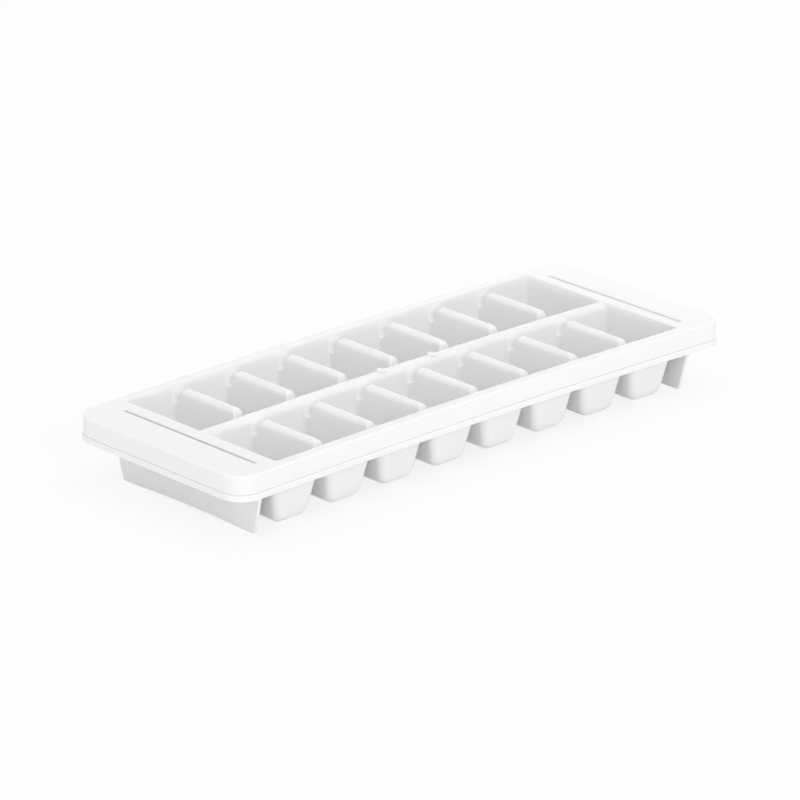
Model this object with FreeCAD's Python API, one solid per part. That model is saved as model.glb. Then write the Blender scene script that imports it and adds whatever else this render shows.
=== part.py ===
"""Ice cube tray: one white moulding with two rows of drafted cells.

The tray stands on two legs that hang under its end grips. The dividers and the
centre rib are folds of the same thin wall, open underneath. The foot of each
leg fits the slot above it, so a second tray stacks with its feet in the slots.

The moulding is modelled as regions that meet face to face on plane cuts: each
cell with its share of the folds around it, two long rims, two end grips, two
legs, and the gate marks on the centre rib. Frame: X along the tray, Y across
it, Z up, with the origin on the floor under the middle. Millimetres.
"""
import FreeCAD
import Part
import math
import os

from FreeCAD import Vector

# ---- cells -------------------------------------------------------------------
CELLS_PER_ROW = 8
CELL_LENGTH = 28.8            # mouth of one cell along X
CELL_WIDTH = 47.8             # mouth of one cell along Y
CELL_DEPTH = 32.6             # rim to the inside of the floor
DRAFT_ANGLE = 10.6            # lean of every cell wall, degrees
CELL_CORNER_RADIUS = 4.0      # upright inside corners of a cell
CELL_FLOOR_RADIUS = 3.6       # inside round between wall and floor
WALL = 1.3

# ---- dividers and centre rib ---------------------------------------------------
DIVIDER_WIDTH = 3.0           # between two mouths, at rim level
DIVIDER_DROP = 1.0            # divider crest below the rim
RIB_WIDTH = 6.0               # between the two rows, at rim level
RIB_DROP = 0.5                # rib crest below the rim
RIB_EDGE_RADIUS = 1.2
NOTCH_WIDTH = 5.4             # water notch at each end of a divider, at its top
NOTCH_DEPTH = 7.6             # divider crest to the notch floor
NOTCH_CORNER_RADIUS = 1.5
STUB_DEPTH = 1.0              # what a notch leaves of the divider on the wall

# ---- rim, skirt and grips --------------------------------------------------------
MOUTH_EDGE_RADIUS = 1.1       # round where the rim turns down into the cells
SIDE_LAND = 6.4               # mouth to outside, along the long sides
END_LAND = 26.8               # mouth to outside, at the grips
RIM_CORNER_RADIUS = 11.5
RIM_EDGE_RADIUS = 0.8         # round along the outer top edge
SKIRT_HEIGHT = 12.0           # rim to the lower edge of the skirt
BAND_HEIGHT = 2.9             # proud band along the lower edge
BAND_PROUD = 0.5

# ---- stacking slots, legs and gate marks -------------------------------------------
SLOT_LENGTH = 89.6
SLOT_WIDTH = 2.8
SLOT_INSET = 7.4              # mouth of the end cell to the middle of the slot
FOOT_THICKNESS = 1.4
FOOT_CLEARANCE = 0.8          # foot to the end of the slot it stacks into
FOOT_DROP = 0.6               # feet below the undersides of the cells
FOOT_PAD_LENGTH = 10.0        # flat pad at each end of a foot
FOOT_ARCH = 0.9               # rise of the foot's lower edge between its pads
LEG_TAPER_ANGLE = 11.5        # lean of a leg's two end edges, degrees
GATE_MARK_DIAMETER = 4.6
GATE_MARK_HEIGHT = 0.3

# ---- derived sizes -------------------------------------------------------------------
SLOPE = math.tan(math.radians(DRAFT_ANGLE))
PITCH = CELL_LENGTH + DIVIDER_WIDTH
MOUTH_LENGTH = CELLS_PER_ROW * PITCH - DIVIDER_WIDTH
MOUTH_WIDTH = 2 * CELL_WIDTH + RIB_WIDTH
TRAY_LENGTH = MOUTH_LENGTH + 2 * END_LAND
TRAY_WIDTH = MOUTH_WIDTH + 2 * SIDE_LAND
RIM_Z = CELL_DEPTH + WALL + FOOT_DROP
UNDERSIDE_Z = RIM_Z - WALL
CREST_Z = RIM_Z - DIVIDER_DROP
NOTCH_Z = CREST_Z - NOTCH_DEPTH
RIB_Z = RIM_Z - RIB_DROP
SKIRT_Z = RIM_Z - SKIRT_HEIGHT
CELL_Y = (RIB_WIDTH + CELL_WIDTH) / 2
CELL_BLOCK_X = MOUTH_LENGTH / 2 + WALL      # where the cells' region ends
CELL_BLOCK_Y = MOUTH_WIDTH / 2 + WALL
SLOT_X = MOUTH_LENGTH / 2 + SLOT_INSET
FOOT_LENGTH = SLOT_LENGTH - 2 * FOOT_CLEARANCE

PAST = 5.0                    # how far a cutting solid runs past what it cuts
TINY = 0.001                  # tolerance when edges are picked by their place
ORIGIN = Vector(0, 0, 0)
ALONG_X = Vector(1, 0, 0)
ALONG_Y = Vector(0, 1, 0)


def cell_x(index):
    """Middle of a cell along X; the cells count from 0 at the left end."""
    return (index - (CELLS_PER_ROW - 1) / 2) * PITCH


def block(x_low, x_high, y_low, y_high, z_low, z_high):
    return Part.makeBox(x_high - x_low, y_high - y_low, z_high - z_low, Vector(x_low, y_low, z_low))


def rounded_outline(length, width, radius, z):
    """Closed wire of a rectangle with round corners, centred on the Z axis."""
    arcs = []
    for turn, (side_x, side_y) in enumerate([(1, 1), (-1, 1), (-1, -1), (1, -1)]):
        centre = Vector(side_x * (length / 2 - radius), side_y * (width / 2 - radius), z)
        angles = [math.radians(90 * turn + 45 * step) for step in range(3)]
        arcs.append([centre + Vector(radius * math.cos(a), radius * math.sin(a), 0) for a in angles])
    edges = []
    for arc, following in zip(arcs, arcs[1:] + arcs[:1]):
        edges.append(Part.Arc(*arc).toShape())
        if arc[-1].distanceToPoint(following[0]) > TINY:
            edges.append(Part.makeLine(arc[-1], following[0]))
    return Part.Wire(edges)


def rounded_prism(length, width, radius, z_low, z_high):
    outline = rounded_outline(length, width, radius, z_low)
    return Part.Face(outline).extrude(Vector(0, 0, z_high - z_low))


def drafted_prism(length, width, radius, depth):
    """Solid that hangs down from the rim and narrows with the cells' draft."""
    narrowing = 2 * SLOPE * depth
    top = rounded_outline(length, width, radius, RIM_Z)
    bottom = rounded_outline(length - narrowing, width - narrowing, radius, RIM_Z - depth)
    return Part.makeLoft([top, bottom], True, True)


def slab_along_x(points, reach):
    """Solid of a Y-Z outline, from -reach to reach along X."""
    corners = [Vector(-reach, y, z) for y, z in points]
    return Part.Face(Part.makePolygon(corners + corners[:1])).extrude(Vector(2 * reach, 0, 0))


def cup(growth):
    """One back-row cell about X 0: its hollow for growth 0, its outside for WALL.
    One quarter is rounded and then mirrored, which keeps the four corners equal."""
    depth = CELL_DEPTH + growth
    whole = drafted_prism(CELL_LENGTH + 2 * growth, CELL_WIDTH + 2 * growth,
                          CELL_CORNER_RADIUS + growth, depth)
    quarter = whole.common(block(0, CELL_LENGTH, 0, CELL_WIDTH, 0, RIM_Z))
    floor_edges = [edge for edge in quarter.Edges
                   if edge.BoundBox.ZMax < RIM_Z - depth + TINY
                   and min(edge.CenterOfMass.x, edge.CenterOfMass.y) > TINY]
    quarter = quarter.makeFillet(CELL_FLOOR_RADIUS + growth, floor_edges)
    half = quarter.fuse(quarter.mirror(ORIGIN, ALONG_X))
    solid = half.fuse(half.mirror(ORIGIN, ALONG_Y)).removeSplitter()
    return solid.translated(Vector(0, CELL_Y, 0))


def divider_form():
    """Envelope of a back-row divider about X 0, full round on top and notched."""
    half_at_crest = DIVIDER_WIDTH / 2 + SLOPE * DIVIDER_DROP
    radius = half_at_crest / (math.hypot(1, SLOPE) - SLOPE)
    lean = math.radians(DRAFT_ANGLE)
    flank_x = radius * math.cos(lean)
    flank_z = CREST_Z - radius + radius * math.sin(lean)
    foot_z = NOTCH_Z - WALL - PAST
    foot_x = flank_x + SLOPE * (flank_z - foot_z)
    half = CELL_WIDTH / 2 + PAST
    left_foot, left_flank = Vector(-foot_x, -half, foot_z), Vector(-flank_x, -half, flank_z)
    right_foot, right_flank = Vector(foot_x, -half, foot_z), Vector(flank_x, -half, flank_z)
    section = Part.Wire([Part.makeLine(left_foot, left_flank),
                         Part.Arc(left_flank, Vector(0, -half, CREST_Z), right_flank).toShape(),
                         Part.makeLine(right_flank, right_foot),
                         Part.makeLine(right_foot, left_foot)])
    along = Part.Face(section).extrude(Vector(0, 2 * half, 0))

    top = CELL_WIDTH / 2 - NOTCH_WIDTH
    bottom = top + SLOPE * NOTCH_DEPTH
    across = slab_along_x([(-half, foot_z), (-half, NOTCH_Z), (-bottom, NOTCH_Z), (-top, CREST_Z),
                           (top, CREST_Z), (bottom, NOTCH_Z), (half, NOTCH_Z), (half, foot_z)], PITCH / 2)
    crest_ends = [edge for edge in across.Edges
                  if edge.BoundBox.ZMin > CREST_Z - TINY and edge.BoundBox.YLength < TINY]
    across = across.makeFillet(NOTCH_CORNER_RADIUS, crest_ends)
    return along.common(across).translated(Vector(0, CELL_Y, 0))


def divider_space(growth, top_z):
    """Room of a back-row divider and its notches about X 0, less the stubs on the
    walls; growth adds the wall below and behind it."""
    floor_z = NOTCH_Z - growth
    top = CELL_WIDTH / 2 - STUB_DEPTH + growth
    bottom = top - SLOPE * (RIM_Z - floor_z)
    over = top + SLOPE * (top_z - RIM_Z)
    space = slab_along_x([(-bottom, floor_z), (bottom, floor_z), (over, top_z), (-over, top_z)],
                         DIVIDER_WIDTH / 2 + CELL_CORNER_RADIUS)
    return space.translated(Vector(0, CELL_Y, 0))


def rib_form(half_length):
    """Envelope of the centre rib: drafted flanks and a flat crest, edges rounded."""
    foot_z = RIB_Z - RIB_EDGE_RADIUS - WALL - PAST
    half_at_crest = RIB_WIDTH / 2 + SLOPE * RIB_DROP
    half_at_foot = half_at_crest + SLOPE * (RIB_Z - foot_z)
    form = slab_along_x([(-half_at_foot, foot_z), (half_at_foot, foot_z),
                         (half_at_crest, RIB_Z), (-half_at_crest, RIB_Z)], half_length)
    crest_edges = [edge for edge in form.Edges
                   if edge.BoundBox.ZMin > RIB_Z - TINY and edge.BoundBox.YLength < TINY]
    return form.makeFillet(RIB_EDGE_RADIUS, crest_edges)


def mouth_space():
    """Space inside the rim's rounded edge, above the dividers' crests and beside
    the rib's crest, over the quarter of the tray where the cells are modelled."""
    quarter = block(0, TRAY_LENGTH, 0, TRAY_WIDTH, CREST_Z, RIM_Z)
    lip = quarter.cut(drafted_prism(MOUTH_LENGTH, MOUTH_WIDTH, CELL_CORNER_RADIUS, DIVIDER_DROP))
    lip_edges = [edge for edge in lip.Edges
                 if edge.BoundBox.ZMin > RIM_Z - TINY
                 and edge.CenterOfMass.x < MOUTH_LENGTH / 2 + TINY
                 and edge.CenterOfMass.y < MOUTH_WIDTH / 2 + TINY]
    lip = lip.makeFillet(MOUTH_EDGE_RADIUS, lip_edges)

    depth = RIB_DROP + RIB_EDGE_RADIUS
    flank_y = RIB_WIDTH / 2 + SLOPE * depth
    end_x = MOUTH_LENGTH / 2 - SLOPE * depth
    beside_rib = block(0, end_x, 0, flank_y, RIM_Z - depth, RIM_Z)
    return quarter.cut(lip).fuse(beside_rib).cut(rib_form(MOUTH_LENGTH / 2 + PAST))


def cell(index, divider, rib, mouth):
    """One back-row cell with its share of the dividers, the rib and the rim plate."""
    x = cell_x(index)
    low = x - PITCH / 2 if index > 0 else -CELL_BLOCK_X
    high = x + PITCH / 2 if index < CELLS_PER_ROW - 1 else CELL_BLOCK_X
    region = block(low, high, 0, CELL_BLOCK_Y, -PAST, RIM_Z)
    dividers_x = [edge_x for edge_x in (low, high) if abs(edge_x) < CELL_BLOCK_X]

    fold = divider_space(WALL, RIM_Z).cut(divider.translated(Vector(0, 0, -WALL)))
    rib_fold = rib.cut(rib.translated(Vector(0, 0, -WALL)))
    plate = block(low, high, 0, CELL_BLOCK_Y, UNDERSIDE_Z, RIM_Z)
    folds = [fold.translated(Vector(edge_x, 0, 0)) for edge_x in dividers_x]
    solid = plate.fuse([cup(WALL).translated(Vector(x, 0, 0)), rib_fold] + folds).common(region)

    space = divider_space(0, RIM_Z + PAST).cut(divider)
    spaces = [space.translated(Vector(edge_x, 0, 0)) for edge_x in dividers_x]
    hollow = cup(0).translated(Vector(x, 0, 0))
    return solid.cut([hollow, mouth] + spaces).removeSplitter()


def cells():
    """Every cell by node name; the inner cells of both rows are one shape."""
    divider, rib, mouth = divider_form(), rib_form(MOUTH_LENGTH / 2), mouth_space()
    last = CELLS_PER_ROW - 1
    end_cell = cell(last, divider, rib, mouth)
    inner_cell = cell(last - 1, divider, rib, mouth)
    named = {}
    for index in range(CELLS_PER_ROW):
        if index == last:
            back = end_cell
        elif index == 0:
            back = end_cell.mirror(ORIGIN, ALONG_X)
        else:
            back = inner_cell.translated(Vector(cell_x(index) - cell_x(last - 1), 0, 0))
        named[f"back_cell_{index + 1}"] = back
        named[f"front_cell_{index + 1}"] = back.mirror(ORIGIN, ALONG_Y)
    return named


def rim_shell():
    """Rim plate with its skirt and proud band, open where the cells hang."""
    body = rounded_prism(TRAY_LENGTH - 2 * BAND_PROUD, TRAY_WIDTH - 2 * BAND_PROUD,
                         RIM_CORNER_RADIUS - BAND_PROUD, SKIRT_Z, RIM_Z)
    top_edges = [edge for edge in body.Edges if edge.BoundBox.ZMin > RIM_Z - TINY]
    body = body.makeFillet(RIM_EDGE_RADIUS, top_edges)
    band = rounded_prism(TRAY_LENGTH, TRAY_WIDTH, RIM_CORNER_RADIUS, SKIRT_Z, SKIRT_Z + BAND_HEIGHT)
    inset = BAND_PROUD + WALL
    inside = rounded_prism(TRAY_LENGTH - 2 * inset, TRAY_WIDTH - 2 * inset,
                           RIM_CORNER_RADIUS - inset, SKIRT_Z - PAST, UNDERSIDE_Z)
    cells_region = block(-CELL_BLOCK_X, CELL_BLOCK_X, -CELL_BLOCK_Y, CELL_BLOCK_Y, 0, RIM_Z + PAST)
    return body.fuse(band).cut([inside, cells_region]).removeSplitter()


def slot():
    """Through slot of the right grip, with round ends."""
    prism = rounded_prism(SLOT_WIDTH, SLOT_LENGTH, SLOT_WIDTH / 2, UNDERSIDE_Z - PAST, RIM_Z + PAST)
    return prism.translated(Vector(SLOT_X, 0, 0))


def rims_and_grips():
    """The rim shell parted into two long rims and two end grips."""
    shell = rim_shell()
    far_x, far_y, top = TRAY_LENGTH, TRAY_WIDTH, RIM_Z + PAST
    back_rim = shell.common(block(-CELL_BLOCK_X, CELL_BLOCK_X, 0, far_y, 0, top))
    right_grip = shell.common(block(CELL_BLOCK_X, far_x, -far_y, far_y, 0, top)).cut(slot())
    return {"back_rim": back_rim, "front_rim": back_rim.mirror(ORIGIN, ALONG_Y),
            "right_grip": right_grip, "left_grip": right_grip.mirror(ORIGIN, ALONG_X)}


def right_leg():
    """Tapered plate under the right grip. Its foot stands straight below the slot
    and it leans out to a root beside the slot."""
    root_offset = (SLOT_WIDTH + FOOT_THICKNESS) / 2
    lean = math.degrees(math.atan2(root_offset, UNDERSIDE_Z))
    height = math.hypot(root_offset, UNDERSIDE_Z) + WALL
    foot, pad = FOOT_LENGTH / 2, FOOT_LENGTH / 2 - FOOT_PAD_LENGTH
    root = foot + height * math.tan(math.radians(LEG_TAPER_ANGLE))
    corners = [Vector(0, -pad, 0), Vector(0, -foot, 0), Vector(0, -root, height),
               Vector(0, root, height), Vector(0, foot, 0), Vector(0, pad, 0)]
    edges = [Part.makeLine(start, end) for start, end in zip(corners, corners[1:])]
    arch = Part.Arc(corners[-1], Vector(0, 0, FOOT_ARCH), corners[0]).toShape()
    plate = Part.Face(Part.Wire(edges + [arch])).extrude(Vector(FOOT_THICKNESS, 0, 0))
    plate.rotate(ORIGIN, ALONG_Y, lean)
    plate = plate.translated(Vector(SLOT_X - FOOT_THICKNESS / 2, 0, 0))
    floor_to_plate = block(0, TRAY_LENGTH, -TRAY_WIDTH, TRAY_WIDTH, 0, UNDERSIDE_Z)
    return plate.common(floor_to_plate)


def gate_marks(rib):
    """Two low discs on the rib's crest, over the cells beside the middle."""
    discs = []
    for side in (-1, 1):
        centre = Vector(side * PITCH / 2, 0, RIB_Z - RIB_EDGE_RADIUS)
        disc = Part.makeCylinder(GATE_MARK_DIAMETER / 2, RIB_EDGE_RADIUS + GATE_MARK_HEIGHT, centre)
        discs.append(disc.cut(rib))
    return Part.makeCompound(discs)


def main():
    nodes = cells()
    nodes.update(rims_and_grips())
    leg = right_leg()
    nodes["right_leg"] = leg
    nodes["left_leg"] = leg.mirror(ORIGIN, ALONG_X)
    nodes["gate_marks"] = gate_marks(rib_form(MOUTH_LENGTH / 2))
    os.makedirs("parts", exist_ok=True)
    for name, shape in nodes.items():
        shape.exportStep(f"parts/{name}.step")
        box = shape.BoundBox
        print(f"{name}: {len(shape.Solids)} solid(s), {shape.Volume:.1f} mm3, "
              f"X {box.XMin:.2f} to {box.XMax:.2f}, Z {box.ZMin:.2f} to {box.ZMax:.2f}, valid {shape.isValid()}")


main()
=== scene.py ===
"""Looks of the ice cube tray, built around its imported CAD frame.

The tray is one white moulding: a thin shell with two rows of drafted cells,
dividers with water notches, a centre rib, a skirt all round, and two legs. Each
of the shell's two skins is a level surface of a smooth distance field, so that
folds have round crests and the corners between walls are round.

Sizes here are millimetres, and become metres when a mesh is made.
"""

import logging
import math
from dataclasses import dataclass
from enum import Enum

import bmesh
import bpy
import numpy as np
from bmesh.types import BMesh, BMVert
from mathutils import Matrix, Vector


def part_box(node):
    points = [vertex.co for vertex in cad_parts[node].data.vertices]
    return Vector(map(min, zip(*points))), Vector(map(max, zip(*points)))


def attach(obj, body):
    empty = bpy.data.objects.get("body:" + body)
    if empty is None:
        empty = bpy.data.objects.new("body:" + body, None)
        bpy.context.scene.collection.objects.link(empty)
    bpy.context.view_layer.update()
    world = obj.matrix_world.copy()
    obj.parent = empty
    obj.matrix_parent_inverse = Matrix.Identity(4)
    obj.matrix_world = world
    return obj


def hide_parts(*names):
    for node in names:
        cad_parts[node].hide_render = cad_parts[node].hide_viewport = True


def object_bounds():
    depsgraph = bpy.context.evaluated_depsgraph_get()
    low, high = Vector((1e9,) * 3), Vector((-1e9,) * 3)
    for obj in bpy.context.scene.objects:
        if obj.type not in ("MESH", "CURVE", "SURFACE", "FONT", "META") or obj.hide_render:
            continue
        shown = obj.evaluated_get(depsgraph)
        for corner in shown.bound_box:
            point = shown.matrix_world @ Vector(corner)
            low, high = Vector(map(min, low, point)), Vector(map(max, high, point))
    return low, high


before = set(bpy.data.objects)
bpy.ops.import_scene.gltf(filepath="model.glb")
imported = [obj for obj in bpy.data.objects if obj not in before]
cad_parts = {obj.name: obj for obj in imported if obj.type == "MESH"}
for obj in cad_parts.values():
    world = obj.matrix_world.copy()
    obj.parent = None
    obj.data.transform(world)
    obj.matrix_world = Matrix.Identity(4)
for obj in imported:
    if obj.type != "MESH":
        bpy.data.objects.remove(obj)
cad_low, cad_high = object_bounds()

log = logging.getLogger("ice_cube_tray")

MM = 0.001
CELLS_PER_ROW = 8
BODY = "root"
ROWS = ("front", "back")
ROUND_BEVEL = 0.5


class Side(Enum):
    """The two ends of the tray, with their sign along X."""

    LEFT = -1
    RIGHT = 1


class Skin(Enum):
    """The two faces of the moulded wall: where the ice lies, and underneath."""

    UPPER = 0
    LOWER = 1


def rounded_max(first: np.ndarray, second: np.ndarray, radius: float) -> np.ndarray:
    """Distance to the space that two hollows share, with a round inside corner.

    Args:
        first: distance to the first hollow, negative inside it.
        second: distance to the second hollow.
        radius: radius of the corner between them.

    Returns:
        Distance to the shared space, negative inside it.
    """
    corner = np.hypot(np.maximum(first + radius, 0), np.maximum(second + radius, 0))
    return np.minimum(np.maximum(first, second), -radius) + corner


def rounded_min(first: np.ndarray, second: np.ndarray, radius: float | np.ndarray) -> np.ndarray:
    """Distance to two hollows together, with a round edge where they meet.

    Args:
        first: distance to the first hollow, negative inside it.
        second: distance to the second hollow.
        radius: radius of the plastic edge between them.

    Returns:
        Distance to the joined hollows, negative inside them.
    """
    edge = np.hypot(np.maximum(radius - first, 0), np.maximum(radius - second, 0))
    return np.maximum(np.minimum(first, second), radius) - edge


def smooth_step(value: np.ndarray, start: float, end: float) -> np.ndarray:
    """Rises smoothly from 0 at start to 1 at end."""
    share = np.clip((value - start) / (end - start), 0, 1)
    return share * share * (3 - 2 * share)


def quarter_turn(count: int, end_degrees: float = 90) -> np.ndarray:
    """Evenly spaced angles from 0 to end_degrees, in radians."""
    return np.radians(np.linspace(0, end_degrees, count))


@dataclass(frozen=True)
class MouldSizes:
    """Sizes of the moulded shell. Those of the whole tray come from the frame."""

    tray_length: float
    tray_width: float
    tray_height: float
    pitch: float
    mouth_half_length: float
    mouth_half_width: float
    skirt_height: float
    wall: float = 1.3
    cell_depth: float = 32.6
    cell_corner_radius: float = 1.6
    hollow_corner_radius: float = 3.0
    cell_floor_radius: float = 3.6
    draft_degrees: float = 10.6
    divider_width: float = 4.2
    divider_hollow_width: float = 3.0
    divider_drop: float = 0.25
    divider_edge_radius: float = 2.6
    rib_width: float = 6.0
    rib_drop: float = 0.45
    rib_edge_radius: float = 3.4
    crest_blend_start: float = 1.0
    crest_blend_end: float = 3.0
    crest_softness: float = 0.4
    notch_width: float = 6.2
    notch_depth: float = 7.9
    notch_floor_radius: float = 1.8
    notch_wall_radius: float = 0.4
    notch_edge_radius: float = 0.8
    stub_lean: float = 0.1
    mouth_edge_radius: float = 0.5
    warp: float = 1.8

    @classmethod
    def from_frame(cls) -> "MouldSizes":
        """Reads the sizes of the whole tray from the frame's nodes.

        Returns:
            The sizes, in millimetres.
        """
        length, width, height = (cad_high - cad_low) / MM
        inner_low, inner_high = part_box("back_cell_2")
        _, end_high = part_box(f"back_cell_{CELLS_PER_ROW}")
        rim_low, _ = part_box("back_rim")
        return cls(
            tray_length=length,
            tray_width=width,
            tray_height=height,
            pitch=(inner_high.x - inner_low.x) / MM,
            mouth_half_length=end_high.x / MM - cls.wall,
            mouth_half_width=end_high.y / MM - cls.wall,
            skirt_height=height - rim_low.z / MM,
        )

    @property
    def slope(self) -> float:
        """Sideways lean of a drafted wall for each millimetre of depth."""
        return math.tan(math.radians(self.draft_degrees))

    @property
    def cell_width(self) -> float:
        """Size of a cell's mouth along Y."""
        return self.mouth_half_width - self.rib_width / 2

    @property
    def row_middle(self) -> float:
        """Middle of the back row along Y."""
        return (self.mouth_half_width + self.rib_width / 2) / 2

    def cell_middle(self, index: int) -> float:
        """Middle along X of a cell; the cells count from 0 at the left end."""
        return (index - (CELLS_PER_ROW - 1) / 2) * self.pitch

    def warped(self, x: float) -> float:
        """Lift of the bow at one place along X, half the bow up or down at most."""
        return self.warp * (0.5 - (2 * x / self.tray_length) ** 2)


@dataclass(frozen=True)
class MouldField:
    """How deep points lie in the plastic, measured from the shell's upper skin.

    Heights are above the rim, so the shell lies at negative ones. The dividers'
    width and the cells' upright corners are fields, because the lower skin has
    narrower hollows in its dividers and rounder corners.
    """

    sizes: MouldSizes
    divider_width: float
    corner_radius: float
    search_reach: float = 5.0
    search_steps: int = 40

    def hollow(self, across: np.ndarray, half: float, z: np.ndarray, lean: float = 0) -> np.ndarray:
        """Distance to the hollow between two drafted walls that face each other.

        Args:
            across: distance of each point from the middle of the hollow.
            half: half the hollow's size at rim level.
            z: height of each point above the rim.
            lean: what the walls lean in more than the draft.

        Returns:
            Distance to the nearer wall, negative between them.
        """
        upright = math.cos(math.radians(self.sizes.draft_degrees))
        return (np.abs(across) - half - (self.sizes.slope + lean) * z) * upright

    def fold(self, across: np.ndarray, half: float, z: np.ndarray) -> np.ndarray:
        """Distance in from the faces of a drafted fold, softened along its crest.

        Args:
            across: distance of each point from the fold's middle plane.
            half: half the fold's thickness at rim level.
            z: height of each point above the rim.

        Returns:
            Distance to the nearer face, positive inside the fold.
        """
        soft = np.hypot(across, self.sizes.crest_softness)
        return -self.hollow(soft, half, -z)

    def from_divider(self, x: np.ndarray) -> np.ndarray:
        """Distance along X from each point to the nearest divider's middle plane."""
        most = CELLS_PER_ROW // 2 - 1
        return np.abs(x - self.sizes.pitch * np.clip(np.round(x / self.sizes.pitch), -most, most))

    def notches(self, x: np.ndarray, y: np.ndarray, z: np.ndarray) -> np.ndarray:
        """Finds the water notches at both ends of every divider.

        Args:
            x: places along the tray.
            y: places across the tray.
            z: heights above the rim.

        Returns:
            Distance to the nearest notch, negative inside it.
        """
        s = self.sizes
        from_row_middle = np.abs(y) - s.row_middle
        beside_divider = self.fold(from_row_middle, s.cell_width / 2 - s.notch_width, z)
        beside_wall = self.hollow(from_row_middle, s.cell_width / 2, z, s.stub_lean)
        over_floor = rounded_max(beside_divider, -(z + s.notch_depth), s.notch_floor_radius)
        space = rounded_max(over_floor, beside_wall, s.notch_wall_radius)
        reach = self.divider_width / 2 + self.corner_radius
        return np.maximum(space, self.hollow(self.from_divider(x), reach, -z))

    def depth(self, x: np.ndarray, y: np.ndarray, z: np.ndarray) -> np.ndarray:
        """Depth of points below the upper skin, negative in the air above it.

        Args:
            x: places along the tray.
            y: places across the tray.
            z: heights above the rim.

        Returns:
            Depth of each point in the plastic.
        """
        s = self.sizes
        beyond_end = self.hollow(x, s.mouth_half_length, z)
        beyond_side = self.hollow(y, s.mouth_half_width, z)
        along = np.maximum(beyond_end, self.fold(self.from_divider(x), self.divider_width / 2, z))
        across = np.maximum(beyond_side, self.fold(y, s.rib_width / 2, z))
        cells = rounded_max(rounded_max(along, across, self.corner_radius), -(z + s.cell_depth),
                            s.cell_floor_radius)
        hollows = rounded_min(cells, self.notches(x, y, z), s.notch_edge_radius)
        beside_rib = smooth_step(np.abs(y) - s.rib_width / 2, s.crest_blend_start, s.crest_blend_end)
        crest = -s.rib_drop - (s.divider_drop - s.rib_drop) * beside_rib
        edge = s.rib_edge_radius + (s.divider_edge_radius - s.rib_edge_radius) * beside_rib
        folds = rounded_min(hollows, crest - z, edge)
        mouth = rounded_max(beyond_end, beyond_side, self.corner_radius)
        return np.maximum(folds, rounded_min(mouth, -z, s.mouth_edge_radius))

    def height(self, x: np.ndarray, y: np.ndarray, depth: float) -> np.ndarray:
        """Finds by halving where a vertical line reaches a given depth.

        Args:
            x: places along the tray.
            y: places across the tray.
            depth: depth to reach, 0 for the upper skin.

        Returns:
            Height of that depth above the rim.
        """
        low = np.full_like(x, -self.sizes.cell_depth - depth - self.search_reach)
        high = np.full_like(x, self.search_reach - depth)
        for _ in range(self.search_steps):
            middle = (low + high) / 2
            below = self.depth(x, y, middle) > depth
            low = np.where(below, middle, low)
            high = np.where(below, high, middle)
        return (low + high) / 2


@dataclass(frozen=True)
class SkinGrid:
    """Grid lines that follow the shape of the cells, dense where it turns."""

    sizes: MouldSizes
    growth: float
    divider_width: float
    land: float = 2.2
    turn_steps: int = 8
    wall_steps: int = 8
    lip_steps: int = 10
    notch_step: float = 0.3
    closest: float = 0.12

    def half_cell(self, half: float, beyond: float) -> np.ndarray:
        """Lines from the middle of a cell's floor to a place beyond its mouth.

        Args:
            half: half the size of the cell's mouth.
            beyond: distance from the mouth to the last line.

        Returns:
            Distances from the middle of the cell, in order.
        """
        s = self.sizes
        upright = 90 - s.draft_degrees
        floor_edge = (half - s.slope * s.cell_depth
                      - s.cell_floor_radius * math.tan(math.radians(upright / 2)))
        radius = s.cell_floor_radius + self.growth
        turn = floor_edge + radius * np.sin(quarter_turn(self.turn_steps, upright))
        lip_start = half + self.growth - s.slope * (s.divider_drop + s.divider_edge_radius)
        wall = np.linspace(turn[-1], lip_start, self.wall_steps)
        lip = lip_start + (half + beyond - lip_start) * (1 - np.cos(quarter_turn(self.lip_steps)))
        return np.concatenate([[0, floor_edge / 2], turn, wall, lip])

    def thinned(self, lines: np.ndarray) -> np.ndarray:
        """Sorts lines and leaves out any that crowd the one before.

        Args:
            lines: places of the lines, in any order.

        Returns:
            The kept lines in order, with the first and the last among them.
        """
        ordered = np.sort(lines)
        kept = [ordered[0]]
        for line in ordered[1:-1]:
            if line - kept[-1] > self.closest and ordered[-1] - line > self.closest:
                kept.append(line)
        return np.array(kept + [ordered[-1]])

    def along(self) -> np.ndarray:
        """Places lines along X, over all the cells of a row and the land at both ends.

        Returns:
            The lines in order, symmetrical about the tray's middle.
        """
        s = self.sizes
        last_middle = s.cell_middle(CELLS_PER_ROW - 1)
        to_divider = self.half_cell((s.pitch - self.divider_width) / 2, self.divider_width / 2)
        to_land = self.half_cell(s.mouth_half_length - last_middle, self.land)
        lines = [last_middle + to_land]
        notch_edge = self.divider_width / 2 + s.slope * s.notch_depth
        beside = np.arange(notch_edge - 2 * s.notch_edge_radius, notch_edge + s.notch_edge_radius,
                           self.notch_step / 2)
        for index in range(CELLS_PER_ROW // 2, CELLS_PER_ROW):
            middle = s.cell_middle(index)
            left_divider = middle - s.pitch / 2
            lines += [middle - to_divider, left_divider + beside]
            if index < CELLS_PER_ROW - 1:
                lines += [middle + to_divider, left_divider + s.pitch - beside]
        right = self.thinned(np.concatenate(lines))
        return np.concatenate([-right[:0:-1], right])

    def across(self) -> np.ndarray:
        """Places lines along Y, over both rows and the land outside them.

        Returns:
            The lines in order, symmetrical about the centre rib.
        """
        s = self.sizes
        to_rib = self.half_cell(s.cell_width / 2, s.rib_width / 2)
        to_land = self.half_cell(s.cell_width / 2, self.land)
        notch_start = s.cell_width / 2 - s.notch_width - s.divider_edge_radius
        notch = np.arange(notch_start, s.cell_width / 2, self.notch_step)
        offsets = np.concatenate([-to_rib, to_land, -notch, notch])
        back = self.thinned(s.row_middle + offsets)
        back[0] = 0
        return np.concatenate([-back[:0:-1], back])


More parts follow.
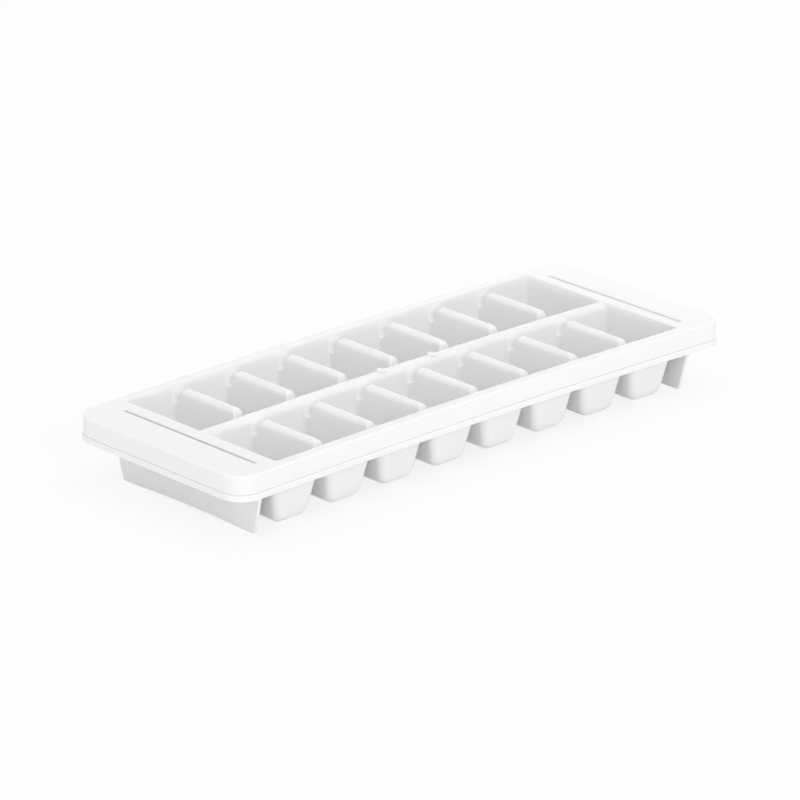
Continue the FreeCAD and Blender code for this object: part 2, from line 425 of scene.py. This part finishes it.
@dataclass
class TrayShell:
    """The whole shell: cells, folds, rim, skirt and the slots in the grips."""

    sizes: MouldSizes
    plastic: bpy.types.Material
    corner_radius: float = 11.5
    edge_radius: float = 0.6
    band_height: float = 2.9
    band_proud: float = 0.5
    seam_depth: float = 0.35
    seam_top_share: float = 0.6
    seam_floor_share: float = 0.15
    band_edge_radius: float = 0.3
    slot_length: float = 89.6
    slot_width: float = 1.5
    slot_inset: float = 7.4
    slot_middle_y: float = -1.2
    slot_top_radius: float = 0.9
    slot_lower_radius: float = 0.15
    corner_steps: int = 12
    edge_steps: int = 5
    long_side_steps: int = 32
    short_side_steps: int = 4
    sharp_degrees: float = 38.0

    def ring(self, mesh: BMesh, offset: float, z: float) -> list[BMVert]:
        """One closed row of points parallel to the tray's outline.

        Args:
            mesh: mesh that gets the points.
            offset: distance outwards from the outline.
            z: height above the rim.

        Returns:
            The points, anticlockwise from above.
        """
        half_x, half_y = self.sizes.tray_length / 2, self.sizes.tray_width / 2
        radius = self.corner_radius + offset
        inner_x, inner_y = half_x - self.corner_radius, half_y - self.corner_radius
        points = []
        for turn, (side_x, side_y) in enumerate([(1, 1), (-1, 1), (-1, -1), (1, -1)]):
            angles = math.pi / 2 * turn + quarter_turn(self.corner_steps)
            points += [(side_x * inner_x + radius * math.cos(a), side_y * inner_y + radius * math.sin(a))
                       for a in angles]
            steps = self.short_side_steps if turn % 2 else self.long_side_steps
            start = np.array(points[-1])
            end = np.array([start[0], -start[1]]) if turn % 2 else np.array([-start[0], start[1]])
            points += [tuple(start + (end - start) * step / steps) for step in range(1, steps)]
        return [mesh.verts.new((x, y, z)) for x, y in points]

    def slot_ring(self, mesh: BMesh, side: Side, offset: float, z: float) -> list[BMVert]:
        """One closed row of points around a stacking slot.

        Args:
            mesh: mesh that gets the points.
            side: end of the tray that the slot is in.
            offset: distance outwards from the slot's waist.
            z: height above the rim.

        Returns:
            The points, anticlockwise from above.
        """
        middle = side.value * (self.sizes.mouth_half_length + self.slot_inset)
        radius = self.slot_width / 2 + offset
        end = (self.slot_length - self.slot_width) / 2
        points = []
        for turn, direction in enumerate((1, -1)):
            angles = math.pi * turn + quarter_turn(self.corner_steps, 180)
            middle_y = self.slot_middle_y + direction * end
            points += [(middle + radius * math.cos(a), middle_y + radius * math.sin(a))
                       for a in angles]
        return [mesh.verts.new((x, y, z)) for x, y in points]

    def skirt_profile(self) -> list[tuple[float, float]]:
        """Section of the rim's edge, skirt and band.

        Returns:
            Offsets from the outline and heights above the rim, from the land down
            the outside and up the inside to the underside.
        """
        s = self.sizes
        face, inside = -self.band_proud, -self.band_proud - s.wall
        edge, small = self.edge_radius, self.band_edge_radius
        bottom, band_top = -s.skirt_height, self.band_height - s.skirt_height
        turn = quarter_turn(self.edge_steps)
        profile = [(face - edge + edge * math.sin(a), edge * math.cos(a) - edge) for a in turn]
        profile += [(face, band_top + self.seam_depth * self.seam_top_share),
                    (face - self.seam_depth, band_top + self.seam_depth * self.seam_floor_share),
                    (face, band_top)]
        profile += [(-small + small * math.sin(a), band_top - small + small * math.cos(a)) for a in turn]
        profile += [(-small + small * math.cos(a), bottom + small - small * math.sin(a)) for a in turn]
        profile += [(inside + small - small * math.sin(a), bottom + small - small * math.cos(a))
                    for a in turn]
        profile += [(inside - edge + edge * math.cos(a), -s.wall - edge + edge * math.sin(a))
                    for a in turn]
        return profile

    def slot_profile(self) -> list[tuple[float, float]]:
        """Section of a slot's wall.

        Returns:
            Offsets from the slot's waist and heights above the rim, downwards.
        """
        top, lower, bottom = self.slot_top_radius, self.slot_lower_radius, -self.sizes.wall
        turn = quarter_turn(self.edge_steps)
        profile = [(top - top * math.sin(a), top * math.cos(a) - top) for a in turn]
        profile += [(lower - lower * math.cos(a), bottom + lower - lower * math.sin(a)) for a in turn]
        return profile

    def skin(self, mesh: BMesh, skin: Skin) -> list[BMVert]:
        """Builds one skin over the cells and folds.

        Args:
            mesh: mesh that gets the skin.
            skin: which side of the wall to build.

        Returns:
            The points on the skin's outer edge, in order.
        """
        s = self.sizes
        depth = skin.value * s.wall
        widths = {Skin.UPPER: s.divider_width, Skin.LOWER: s.divider_hollow_width}
        corners = {Skin.UPPER: s.cell_corner_radius, Skin.LOWER: s.hollow_corner_radius}
        grid = SkinGrid(s, depth, widths[skin])
        lines_x, lines_y = grid.along(), grid.across()
        x, y = np.meshgrid(lines_x, lines_y, indexing="ij")
        z = MouldField(s, widths[skin], corners[skin]).height(x, y, depth)
        points = [[mesh.verts.new((x[i, j], y[i, j], z[i, j])) for j in range(len(lines_y))]
                  for i in range(len(lines_x))]
        for left, right in zip(points, points[1:]):
            for j in range(len(lines_y) - 1):
                mesh.faces.new((left[j], right[j], right[j + 1], left[j + 1]))
        log.info("%s skin: %d by %d lines", skin.name.lower(), len(lines_x), len(lines_y))
        front = [column[0] for column in points]
        back = [column[-1] for column in points]
        return front + points[-1][1:-1] + back[::-1] + points[0][-2:0:-1]

    @staticmethod
    def bridge(mesh: BMesh, rings: list[list[BMVert]]) -> None:
        """Joins closed rows of points, each to the next, with bands of faces.

        Args:
            mesh: mesh that gets the faces.
            rings: the rows, with as many points in each.
        """
        for upper, lower in zip(rings, rings[1:]):
            for index, point in enumerate(upper):
                after = (index + 1) % len(upper)
                mesh.faces.new((point, lower[index], lower[after], upper[after]))

    @staticmethod
    def fill(mesh: BMesh, loops: list[list[BMVert]]) -> None:
        """Fills the flat land between closed rows of points.

        Args:
            mesh: mesh that gets the faces.
            loops: the rows that bound the land, outside and in.
        """
        edges = []
        for loop in loops:
            for index, point in enumerate(loop):
                pair = (point, loop[(index + 1) % len(loop)])
                edges.append(mesh.edges.get(pair) or mesh.edges.new(pair))
        bmesh.ops.triangle_fill(mesh, use_beauty=True, edges=edges, normal=(0, 0, 1))

    def build(self) -> bpy.types.Object:
        """Builds the closed shell, bowed as the moulding is.

        Returns:
            The shell, in white plastic.
        """
        mesh = bmesh.new()
        skirt = [self.ring(mesh, offset, z) for offset, z in self.skirt_profile()]
        slots = [[self.slot_ring(mesh, side, offset, z) for offset, z in self.slot_profile()]
                 for side in Side]
        for rings in [skirt] + slots:
            self.bridge(mesh, rings)
        self.fill(mesh, [self.skin(mesh, Skin.UPPER), skirt[0]] + [rings[0] for rings in slots])
        self.fill(mesh, [self.skin(mesh, Skin.LOWER), skirt[-1]] + [rings[-1] for rings in slots])
        bmesh.ops.recalc_face_normals(mesh, faces=mesh.faces)
        for point in mesh.verts:
            point.co.z += self.sizes.tray_height + self.sizes.warped(point.co.x)
        return piece_from(mesh, "tray_shell", self.plastic, self.sharp_degrees)


@dataclass
class StackingLeg:
    """The tapered plate under one grip, with its arched foot."""

    sizes: MouldSizes
    plastic: bpy.types.Material
    side: Side
    foot_thickness: float = 1.4
    root_thickness: float = 2.4
    foot_length: float = 89.4
    middle_y: float = -0.7
    pad_length: float = 10.0
    arch: float = 0.9
    back_taper_degrees: float = 11.5
    front_taper_degrees: float = 13.5
    foot_corner_radius: float = 1.6
    edge_radius: float = 0.3
    into_plate: float = 0.4
    arc_steps: int = 16
    corner_steps: int = 5
    edge_steps: int = 3
    sharp_degrees: float = 50.0

    def foot_line(self, taper_degrees: float, root_z: float) -> list[tuple[float, float]]:
        """Half of the leg's outline, from the middle of its arched foot outwards.

        Args:
            taper_degrees: lean of this end of the leg from the upright.
            root_z: height of the leg's root above the floor.

        Returns:
            Distances across the tray and heights above the floor.
        """
        half, pad = self.foot_length / 2, self.foot_length / 2 - self.pad_length
        shares = [step / self.arc_steps for step in range(self.arc_steps + 1)]
        arch = [(pad * share, self.arch * (1 - share ** 2)) for share in shares]
        radius = self.foot_corner_radius
        taper = math.radians(taper_degrees)
        from_corner = radius * math.tan(math.radians(90 + taper_degrees) / 2 - taper)
        centre = half - from_corner
        angles = np.linspace(-math.pi / 2, -taper, self.corner_steps)
        corner = [(centre + radius * math.cos(a), radius + radius * math.sin(a)) for a in angles]
        end_y, end_z = corner[-1]
        return arch + corner + [(end_y + (root_z - end_z) * math.tan(taper), root_z)]

    def build(self) -> bpy.types.Object:
        """Builds the leg, leaning out from its foot to its root beside the slot.

        Returns:
            The leg, in white plastic.
        """
        low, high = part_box(f"{self.side.name.lower()}_leg")
        foot_x = min(abs(low.x), abs(high.x)) / MM
        root_z = self.sizes.tray_height - self.sizes.wall + self.into_plate + self.sizes.warped(foot_x)
        lean = (max(abs(low.x), abs(high.x)) / MM - foot_x - self.foot_thickness) / root_z
        thickening = (self.root_thickness - self.foot_thickness) / root_z
        back_line = self.foot_line(self.back_taper_degrees, root_z)
        front_line = self.foot_line(self.front_taper_degrees, root_z)
        outline = back_line + [(-y, z) for y, z in reversed(front_line[1:])]

        mesh = bmesh.new()
        faces = []
        for face_x, face_lean in ((foot_x, lean - thickening), (foot_x + self.foot_thickness, lean)):
            points = [(self.side.value * (face_x + face_lean * z), self.middle_y + y, z)
                      for y, z in outline]
            faces.append([mesh.verts.new(point) for point in points])
        for index, point in enumerate(faces[0]):
            after = (index + 1) % len(outline)
            mesh.faces.new((point, faces[0][after], faces[1][after], faces[1][index]))
        rims = [mesh.faces.new(points) for points in faces]
        bmesh.ops.recalc_face_normals(mesh, faces=mesh.faces)
        rim_edges = [edge for rim in rims for edge in rim.edges]
        bmesh.ops.bevel(mesh, geom=rim_edges, offset=self.edge_radius, segments=self.edge_steps,
                        profile=ROUND_BEVEL, affect="EDGES")
        many_sided = [face for face in mesh.faces if len(face.verts) > 4]
        bmesh.ops.triangulate(mesh, faces=many_sided)
        name = f"{self.side.name.lower()}_stacking_leg"
        return piece_from(mesh, name, self.plastic, self.sharp_degrees)


@dataclass
class GateMark:
    """The low round mark that one moulding gate leaves on the centre rib.

    The dish in its top is given as shares of the mark's radius and height.
    """

    sizes: MouldSizes
    plastic: bpy.types.Material
    side: Side
    diameter: float = 4.6
    height: float = 0.3
    edge_radius: float = 0.25
    dish: tuple[tuple[float, float], ...] = ((0.6, 0.85), (0.3, 0.75))
    sunk: float = 0.3
    steps: int = 40
    edge_steps: int = 5
    sharp_degrees: float = 50.0

    def build(self) -> bpy.types.Object:
        """Builds the mark as a low disc with a round edge and a slight dish.

        Returns:
            The mark, in white plastic.
        """
        radius = self.diameter / 2
        profile = [(radius, -self.sunk)]
        profile += [(radius - self.edge_radius * (1 - math.cos(a)),
                     self.height - self.edge_radius * (1 - math.sin(a)))
                    for a in quarter_turn(self.edge_steps)]
        profile += [(radius * across, self.height * up) for across, up in self.dish]
        middle_x = self.side.value * self.sizes.pitch / 2
        base = self.sizes.tray_height - self.sizes.rib_drop + self.sizes.warped(middle_x)
        angles = [2 * math.pi * step / self.steps for step in range(self.steps)]
        mesh = bmesh.new()
        rings = []
        for ring_radius, z in profile:
            rings.append([mesh.verts.new((middle_x + ring_radius * math.cos(a),
                                          ring_radius * math.sin(a), base + z)) for a in angles])
        TrayShell.bridge(mesh, rings)
        mesh.faces.new(rings[-1])
        mesh.faces.new(rings[0])
        bmesh.ops.recalc_face_normals(mesh, faces=mesh.faces)
        name = f"{self.side.name.lower()}_gate_mark"
        return piece_from(mesh, name, self.plastic, self.sharp_degrees)


def piece_from(mesh: BMesh, name: str, plastic: bpy.types.Material,
               sharp_degrees: float) -> bpy.types.Object:
    """Turns a mesh in millimetres into a smooth piece of the tray.

    Args:
        mesh: the finished mesh, which is freed.
        name: name of the piece.
        plastic: material of the piece.
        sharp_degrees: edges that turn by more than this stay sharp.

    Returns:
        The piece, in metres, riding on the tray's body.
    """
    bmesh.ops.scale(mesh, vec=(MM, MM, MM), verts=mesh.verts)
    data = bpy.data.meshes.new(name)
    mesh.to_mesh(data)
    mesh.free()
    data.shade_smooth()
    data.set_sharp_from_angle(angle=math.radians(sharp_degrees))
    data.materials.append(plastic)
    piece = bpy.data.objects.new(name, data)
    bpy.context.scene.collection.objects.link(piece)
    normals = piece.modifiers.new("flat faces stay flat", "WEIGHTED_NORMAL")
    normals.keep_sharp = True
    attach(piece, BODY)
    return piece


@dataclass(frozen=True)
class MouldedPlastic:
    """White satin plastic with faint clouds of tone and a fine moulded grain.

    The depths and the reach of the glow are metres.
    """

    colour: tuple[float, float, float] = (0.90, 0.90, 0.895)
    cloud_colour: tuple[float, float, float] = (0.875, 0.875, 0.87)
    roughness: tuple[float, float] = (0.27, 0.34)
    gloss: float = 0.5
    cloud_scale: float = 35.0
    cloud_detail: float = 3.0
    ripple_scale: float = 160.0
    ripple_depth: float = 0.00004
    grain_scale: float = 2200.0
    grain_depth: float = 0.000008
    bump_detail: float = 2.0
    glow: float = 1.0
    glow_reach: float = 0.0006

    def material(self) -> bpy.types.Material:
        """Builds the material from nodes.

        Returns:
            The plastic, for every piece of the tray.
        """
        material = bpy.data.materials.new("white_moulded_plastic")
        material.use_nodes = True
        nodes, links = material.node_tree.nodes, material.node_tree.links
        shader = nodes["Principled BSDF"]
        shader.inputs["Specular IOR Level"].default_value = self.gloss
        shader.inputs["Subsurface Weight"].default_value = self.glow
        shader.inputs["Subsurface Scale"].default_value = self.glow_reach
        shader.inputs["Subsurface Radius"].default_value = (1, 1, 1)
        place = nodes.new("ShaderNodeTexCoord").outputs["Object"]

        def noise(scale: float, detail: float) -> bpy.types.NodeSocket:
            """Adds a noise texture fixed to the tray.

            Args:
                scale: how many of its features fit in a metre.
                detail: how many finer layers it has.

            Returns:
                The texture's grey value.
            """
            texture = nodes.new("ShaderNodeTexNoise")
            texture.inputs["Scale"].default_value = scale
            texture.inputs["Detail"].default_value = detail
            links.new(place, texture.inputs["Vector"])
            return texture.outputs["Fac"]

        clouds = noise(self.cloud_scale, self.cloud_detail)
        tone = nodes.new("ShaderNodeMix")
        tone.data_type = "RGBA"
        tone.inputs["A"].default_value = (*self.colour, 1)
        tone.inputs["B"].default_value = (*self.cloud_colour, 1)
        links.new(clouds, tone.inputs["Factor"])
        links.new(tone.outputs["Result"], shader.inputs["Base Color"])

        sheen = nodes.new("ShaderNodeMapRange")
        sheen.inputs["To Min"].default_value, sheen.inputs["To Max"].default_value = self.roughness
        links.new(clouds, sheen.inputs["Value"])
        links.new(sheen.outputs["Result"], shader.inputs["Roughness"])

        surface = None
        for scale, depth in ((self.ripple_scale, self.ripple_depth),
                             (self.grain_scale, self.grain_depth)):
            bump = nodes.new("ShaderNodeBump")
            bump.inputs["Distance"].default_value = depth
            links.new(noise(scale, self.bump_detail), bump.inputs["Height"])
            if surface:
                links.new(surface, bump.inputs["Normal"])
            surface = bump.outputs["Normal"]
        links.new(surface, shader.inputs["Normal"])
        return material


@dataclass(frozen=True)
class SoftLamp:
    """A rectangular soft lamp. Its place, width and height are in metres."""

    name: str
    place: tuple[float, float, float]
    width: float
    height: float
    power: float

    def add(self, target: Vector) -> None:
        """Hangs the lamp and turns it to face a target.

        Args:
            target: point that the lamp faces, in metres.
        """
        lamp = bpy.data.lights.new(self.name, "AREA")
        lamp.energy = self.power
        lamp.shape = "RECTANGLE"
        lamp.size, lamp.size_y = self.width, self.height
        holder = bpy.data.objects.new(self.name, lamp)
        holder.location = self.place
        holder.rotation_euler = (target - Vector(self.place)).to_track_quat("-Z", "Y").to_euler()
        holder.visible_camera = False
        bpy.context.scene.collection.objects.link(holder)


@dataclass(frozen=True)
class Studio:
    """Camera, lamps, white surroundings and the pale floor under the tray.

    Lengths here are metres.
    """

    azimuth_degrees: float = -42.92
    elevation_degrees: float = 20.71
    distance: float = 2.518
    lens_mm: float = 246.8
    sensor_mm: float = 36.0
    aim: tuple[float, float, float] = (-0.0061, -0.0020, 0.0184)
    world_strength: float = 0.755
    background_strength: float = 1.0
    floor_size: float = 6.0
    floor_colour: tuple[float, float, float] = (0.98, 0.98, 0.98)
    floor_roughness: float = 0.9
    floor_whiteness: float = 0.82
    lamps: tuple[SoftLamp, ...] = (
        SoftLamp("top_lamp", (0.3, -0.3, 1.8), 1.2, 1.2, 5.0),
        SoftLamp("front_lamp", (-1.44, -3.90, 2.12), 1.1, 1.4, 35.0),
        SoftLamp("fill_lamp", (-3.60, -3.20, 0.38), 1.8, 0.48, 29.0),
        SoftLamp("back_strip", (1.2, 1.35, 0.22), 1.2, 0.35, 2.4),
    )

    def add_camera(self) -> None:
        """Puts the camera on its line of sight and makes it the scene's camera."""
        azimuth, elevation = math.radians(self.azimuth_degrees), math.radians(self.elevation_degrees)
        back = Vector((math.sin(azimuth) * math.cos(elevation),
                       -math.cos(azimuth) * math.cos(elevation), math.sin(elevation)))
        camera = bpy.data.cameras.new("camera")
        camera.lens = self.lens_mm
        camera.sensor_width = self.sensor_mm
        holder = bpy.data.objects.new("camera", camera)
        holder.location = Vector(self.aim) + back * self.distance
        holder.rotation_euler = (-back).to_track_quat("-Z", "Y").to_euler()
        bpy.context.scene.collection.objects.link(holder)
        bpy.context.scene.camera = holder

    @staticmethod
    def seen_directly(tree: bpy.types.NodeTree) -> bpy.types.NodeSocket:
        """Adds nodes that tell the rays that show a background from those that light.

        Args:
            tree: material or world that gets the nodes.

        Returns:
            A value of 1 for camera, glossy and transmission rays, and 0 for others.
        """
        rays = tree.nodes.new("ShaderNodeLightPath")
        total = rays.outputs["Is Camera Ray"]
        for kind in ("Is Glossy Ray", "Is Transmission Ray"):
            most = tree.nodes.new("ShaderNodeMath")
            most.operation = "MAXIMUM"
            tree.links.new(total, most.inputs[0])
            tree.links.new(rays.outputs[kind], most.inputs[1])
            total = most.outputs["Value"]
        return total

    def add_world(self) -> None:
        """Lights the tray evenly from all round, before a background of plain white."""
        world = bpy.data.worlds.new("white_surroundings")
        bpy.context.scene.world = world
        world.use_nodes = True
        tree = world.node_tree
        background = tree.nodes["Background"]
        background.inputs["Color"].default_value = (1, 1, 1, 1)
        strength = tree.nodes.new("ShaderNodeMapRange")
        strength.inputs["To Min"].default_value = self.world_strength
        strength.inputs["To Max"].default_value = self.background_strength
        tree.links.new(self.seen_directly(tree), strength.inputs["Value"])
        tree.links.new(strength.outputs["Result"], background.inputs["Strength"])

    def add_floor(self) -> None:
        """Lays a pale floor that keeps the tray's soft shadow."""
        mesh = bmesh.new()
        bmesh.ops.create_grid(mesh, x_segments=1, y_segments=1, size=self.floor_size / 2)
        data = bpy.data.meshes.new("floor")
        mesh.to_mesh(data)
        mesh.free()
        floor = bpy.data.objects.new("floor", data)
        bpy.context.scene.collection.objects.link(floor)

        material = bpy.data.materials.new("pale_floor")
        material.use_nodes = True
        shader = material.node_tree.nodes["Principled BSDF"]
        shader.inputs["Base Color"].default_value = (*self.floor_colour, 1)
        shader.inputs["Roughness"].default_value = self.floor_roughness
        shader.inputs["Specular IOR Level"].default_value = 0.0
        tree = material.node_tree
        white = tree.nodes.new("ShaderNodeEmission")
        white.inputs["Color"].default_value = (1, 1, 1, 1)
        share = tree.nodes.new("ShaderNodeMath")
        share.operation = "MULTIPLY"
        share.inputs[1].default_value = self.floor_whiteness
        tree.links.new(self.seen_directly(tree), share.inputs[0])
        mix = tree.nodes.new("ShaderNodeMixShader")
        tree.links.new(share.outputs["Value"], mix.inputs["Fac"])
        tree.links.new(shader.outputs["BSDF"], mix.inputs[1])
        tree.links.new(white.outputs["Emission"], mix.inputs[2])
        tree.links.new(mix.outputs["Shader"], tree.nodes["Material Output"].inputs["Surface"])
        data.materials.append(material)

    def build(self) -> None:
        """Sets up the camera, the surroundings, the lamps and the floor."""
        self.add_camera()
        self.add_world()
        self.add_floor()
        for lamp in self.lamps:
            lamp.add(Vector(self.aim))
        bpy.context.scene.view_settings.view_transform = "Standard"
        log.info("studio: camera, floor and %d lamps", len(self.lamps))


def main() -> None:
    """Builds the studio and every piece of the tray, and hides the frame's nodes that the pieces
    replace.
    """
    logging.basicConfig(level=logging.INFO, format="%(name)s: %(message)s")
    Studio().build()
    sizes = MouldSizes.from_frame()
    plastic = MouldedPlastic().material()

    shell = TrayShell(sizes, plastic).build()
    shell_nodes = [f"{row}_cell_{index + 1}" for row in ROWS for index in range(CELLS_PER_ROW)]
    shell_nodes += [f"{row}_rim" for row in ROWS] + [f"{side.name.lower()}_grip" for side in Side]
    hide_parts(*shell_nodes)
    pieces = [shell]
    for side in Side:
        leg = StackingLeg(sizes, plastic, side).build()
        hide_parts(f"{side.name.lower()}_leg")
        mark = GateMark(sizes, plastic, side).build()
        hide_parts("gate_marks")
        pieces += [leg, mark]
    for piece in pieces:
        log.info("%s: %d faces", piece.name, len(piece.data.polygons))


if __name__ == "__main__":
    main()
